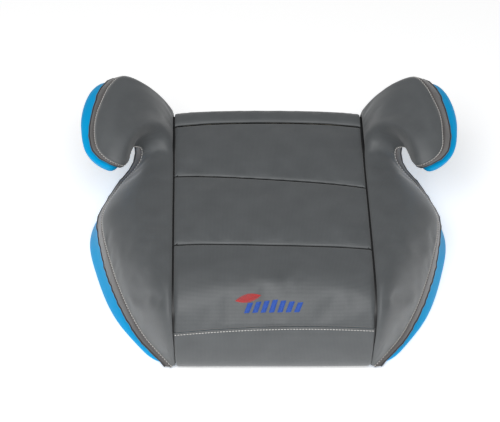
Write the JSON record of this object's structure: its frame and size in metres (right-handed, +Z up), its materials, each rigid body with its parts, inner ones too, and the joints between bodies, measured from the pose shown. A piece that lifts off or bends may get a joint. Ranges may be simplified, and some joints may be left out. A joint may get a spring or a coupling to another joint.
{
  "type": "booster seat",
  "caption": "Backless car booster seat: hollow moulded shell, two screwed-on armrests with belt slots under them, foam, and a sewn grey cover with contrast stitching.",
  "frame": {"origin": "on the surface that the seat stands on, at the middle of the whole seat's box", "axes": "+X is across the seat from armrest to armrest, +Y points to the backrest side, +Z is up"},
  "size_m": [0.4466, 0.3468, 0.1687],
  "materials": {
    "shell_plastic": "satin azure blow-moulded polyethylene",
    "foam": "open-cell polyurethane foam",
    "cover_cloth": "charcoal polyester mesh cloth laminated to thin foam",
    "gusset_cloth": "charcoal polyester cloth, single layer",
    "elastic": "black covered elastic",
    "label_film": "white printed film with a plain red arrow",
    "embroidery_thread": "blue and red rayon thread",
    "clip_plastic": "black nylon",
    "screw_steel": "zinc-plated thread-forming screw"
  },
  "bodies": {
    "root": {"seat_shell": "shell_plastic", "left_armrest_core": "shell_plastic", "right_armrest_core": "shell_plastic", "armrest_screws": "screw_steel", "seat_foam": "foam", "left_side_foam": "foam", "right_side_foam": "foam", "cover_rear_apron": "cover_cloth", "cover_rear_strip": "cover_cloth", "cover_back_panel": "cover_cloth", "cover_middle_panel": "cover_cloth", "cover_front_panel": "cover_cloth", "cover_front_apron": "cover_cloth", "left_side_panel": "cover_cloth", "right_side_panel": "cover_cloth", "left_gusset": "gusset_cloth", "right_gusset": "gusset_cloth", "left_hem_elastic": "elastic", "right_hem_elastic": "elastic", "left_belt_label": "label_film", "right_belt_label": "label_film", "embroidered_motif": "embroidery_thread", "cover_clips": "clip_plastic"}
  },
  "joints": []
}
